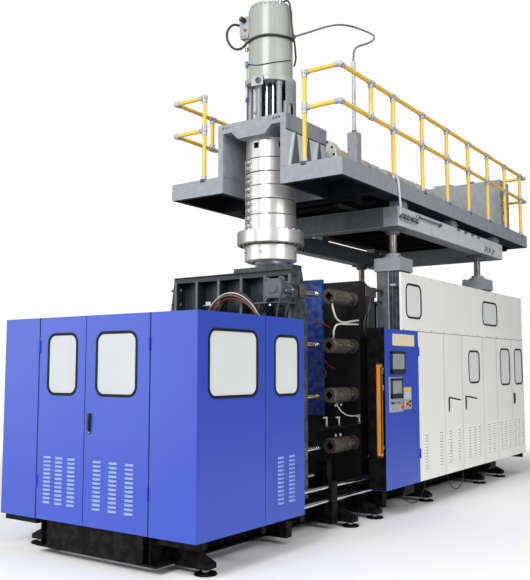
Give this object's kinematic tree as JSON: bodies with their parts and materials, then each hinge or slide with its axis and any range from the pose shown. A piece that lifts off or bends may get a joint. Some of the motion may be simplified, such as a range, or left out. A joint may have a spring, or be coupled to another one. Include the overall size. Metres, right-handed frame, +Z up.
{
  "type": "blow moulding machine",
  "caption": "Accumulator-head blow moulding machine: guard house, closing platens with lock cylinders, cabinets and a railed extruder platform on jacks.",
  "frame": {"origin": "on the floor under the middle of the machine's envelope", "axes": "+X along the machine from the guard doors to the cabinets' rear end, -Y towards the operator, +Z up"},
  "size_m": [8.64, 2.526, 5.9718],
  "materials": {
    "black_steel": "semi-gloss black paint",
    "grey_steel": "satin mid-grey paint",
    "light_grey_steel": "satin light grey-green paint",
    "platen_iron": "satin dark grey paint, a little oily",
    "blue_panel": "fine-textured blue powder coat",
    "blue_steel": "gloss deep blue paint",
    "white_panel": "fine-textured warm white powder coat",
    "yellow_pipe": "gloss yellow paint",
    "bright_steel": "turned and ground",
    "chrome_rod": "hard chrome",
    "oiled_steel": "oiled, browned steel",
    "silver_cover": "clamped sheet covers",
    "aluminium_plate": "brushed panel plate",
    "window_pane": "pale, slightly cloudy sheet",
    "black_plastic": "moulded",
    "grey_plastic": "moulded screen housing",
    "orange_plastic": "moulded",
    "red_plastic": "moulded",
    "hose_rubber": "smooth hose cover"
  },
  "bodies": {
    "frame": {"base_frame": "black_steel", "guide_rod_blocks": "black_steel", "guide_rods": "bright_steel", "levelling_feet": "black_steel", "guard_corner_panel": "blue_panel", "guard_far_panel": "blue_panel", "guard_side_panel": "blue_panel", "guard_door_header": "blue_panel", "fixed_window_panes": "window_pane", "door_hinge_barrels": "blue_panel", "cabinet_fixed_panel": "white_panel", "cabinet_upper_panel": "white_panel", "cabinet_rear_shell": "white_panel", "cabinet_frame": "black_steel", "hydraulic_tank": "grey_steel", "control_cabinet": "blue_panel", "upper_screen": "grey_plastic", "operator_panel": "aluminium_plate", "light_curtain": "orange_plastic", "support_columns": "grey_steel"},
    "left_guard_door": {"guard_door_left": "blue_panel", "guard_pane_left": "window_pane"},
    "right_guard_door": {"guard_door_right": "blue_panel", "guard_pane_right": "window_pane"},
    "guard_handle": {"guard_door_handle": "black_plastic"},
    "front_clamp": {"front_platen": "platen_iron", "front_mould_plate": "blue_steel", "lock_rods": "chrome_rod", "clamp_actuator": "grey_steel", "clamp_hose": "hose_rubber"},
    "rear_clamp": {"rear_platen": "platen_iron", "rear_mould_plate": "blue_steel", "lock_cylinders": "oiled_steel"},
    "lift": {"lift_frame": "grey_steel", "jack_screws": "oiled_steel"},
    "platform": {"platform_deck": "grey_steel", "guard_railing": "yellow_pipe", "extruder_barrel": "silver_cover", "extruder_drive": "grey_steel", "head_yoke": "grey_steel", "accumulator_head": "silver_cover", "head_posts": "bright_steel", "hydraulic_cylinder": "light_grey_steel", "hose_pole": "bright_steel", "head_hose": "hose_rubber"},
    "die_core": {"die_core": "bright_steel"},
    "stop_button": {"emergency_stop": "red_plastic"},
    "green_button": {"start_button": "black_plastic"},
    "selector": {"selector_switch": "black_plastic"},
    "door_1": {"cabinet_door_1": "white_panel"},
    "door_2": {"cabinet_door_2": "white_panel"},
    "door_3": {"cabinet_door_3": "white_panel", "cabinet_pane_3": "window_pane"},
    "door_4": {"cabinet_door_4": "white_panel", "cabinet_pane_4": "window_pane"},
    "door_5": {"cabinet_door_5": "white_panel", "cabinet_pane_5": "window_pane"},
    "handle_2": {"cabinet_handle_2": "black_plastic"},
    "handle_3": {"cabinet_handle_3": "black_plastic"},
    "handle_5": {"cabinet_handle_5": "black_plastic"}
  },
  "joints": [
    {"name": "left_guard_door_hinge", "type": "hinge", "parent": "frame", "child": "left_guard_door", "pos_m": [-4.318, 0.763, 1.2], "axis": [0, 0, -1], "range_deg": [0, 110]},
    {"name": "right_guard_door_hinge", "type": "hinge", "parent": "frame", "child": "right_guard_door", "pos_m": [-4.318, -0.602, 1.2], "axis": [0, 0, 1], "range_deg": [0, 110]},
    {"name": "guard_handle_pivot", "type": "hinge", "parent": "right_guard_door", "child": "guard_handle", "pos_m": [-4.317, 0.089, 1.258], "axis": [0, 1, 0], "range_deg": [0, 80]},
    {"name": "door_1_hinge", "type": "hinge", "parent": "frame", "child": "door_1", "pos_m": [-0.22, -1.115, 1.2], "axis": [0, 0, -1], "range_deg": [0, 100]},
    {"name": "door_2_hinge", "type": "hinge", "parent": "frame", "child": "door_2", "pos_m": [1.17, -1.115, 1.2], "axis": [0, 0, 1], "range_deg": [0, 100]},
    {"name": "door_3_hinge", "type": "hinge", "parent": "frame", "child": "door_3", "pos_m": [1.98, -1.115, 1.2], "axis": [0, 0, 1], "range_deg": [0, 100]},
    {"name": "door_4_hinge", "type": "hinge", "parent": "frame", "child": "door_4", "pos_m": [2.54, -1.115, 1.2], "axis": [0, 0, -1], "range_deg": [0, 100]},
    {"name": "door_5_hinge", "type": "hinge", "parent": "frame", "child": "door_5", "pos_m": [3.79, -1.115, 1.2], "axis": [0, 0, 1], "range_deg": [0, 100]},
    {"name": "handle_2_pivot", "type": "hinge", "parent": "door_2", "child": "handle_2", "pos_m": [0.695, -1.114, 1.258], "axis": [-1, 0, 0], "range_deg": [-80, 0]},
    {"name": "handle_3_pivot", "type": "hinge", "parent": "door_3", "child": "handle_3", "pos_m": [1.28, -1.114, 1.258], "axis": [-1, 0, 0], "range_deg": [-80, 0]},
    {"name": "handle_5_pivot", "type": "hinge", "parent": "door_5", "child": "handle_5", "pos_m": [3.295, -1.114, 1.258], "axis": [-1, 0, 0], "range_deg": [0, 80]},
    {"name": "front_platen_slide", "type": "slide", "parent": "frame", "child": "front_clamp", "axis": [1, 0, 0], "range_m": [0, 0.25]},
    {"name": "rear_platen_slide", "type": "slide", "parent": "frame", "child": "rear_clamp", "axis": [-1, 0, 0], "range_m": [0, 0.25]},
    {"name": "platform_lift", "type": "slide", "parent": "frame", "child": "lift", "axis": [0, 0, 1], "range_m": [-0.05, 0.25]},
    {"name": "platform_slide", "type": "slide", "parent": "lift", "child": "platform", "axis": [1, 0, 0], "range_m": [0, 0.25]},
    {"name": "die_gap_slide", "type": "slide", "parent": "platform", "child": "die_core", "axis": [0, 0, 1], "range_m": [-0.03, 0.03]},
    {"name": "stop_button_push", "type": "slide", "parent": "frame", "child": "stop_button", "axis": [0, 1, 0], "range_m": [0, 0.004], "stiffness_N_per_m": 500},
    {"name": "green_button_push", "type": "slide", "parent": "frame", "child": "green_button", "axis": [0, 1, 0], "range_m": [0, 0.004], "stiffness_N_per_m": 500},
    {"name": "selector_turn", "type": "hinge", "parent": "frame", "child": "selector", "pos_m": [-0.965, -1.127, 1.255], "axis": [0, 1, 0], "range_deg": [-45, 45]}
  ],
  "couplings": [
    {"joint": "rear_platen_slide", "follows": "front_platen_slide", "ratio": 1}
  ]
}
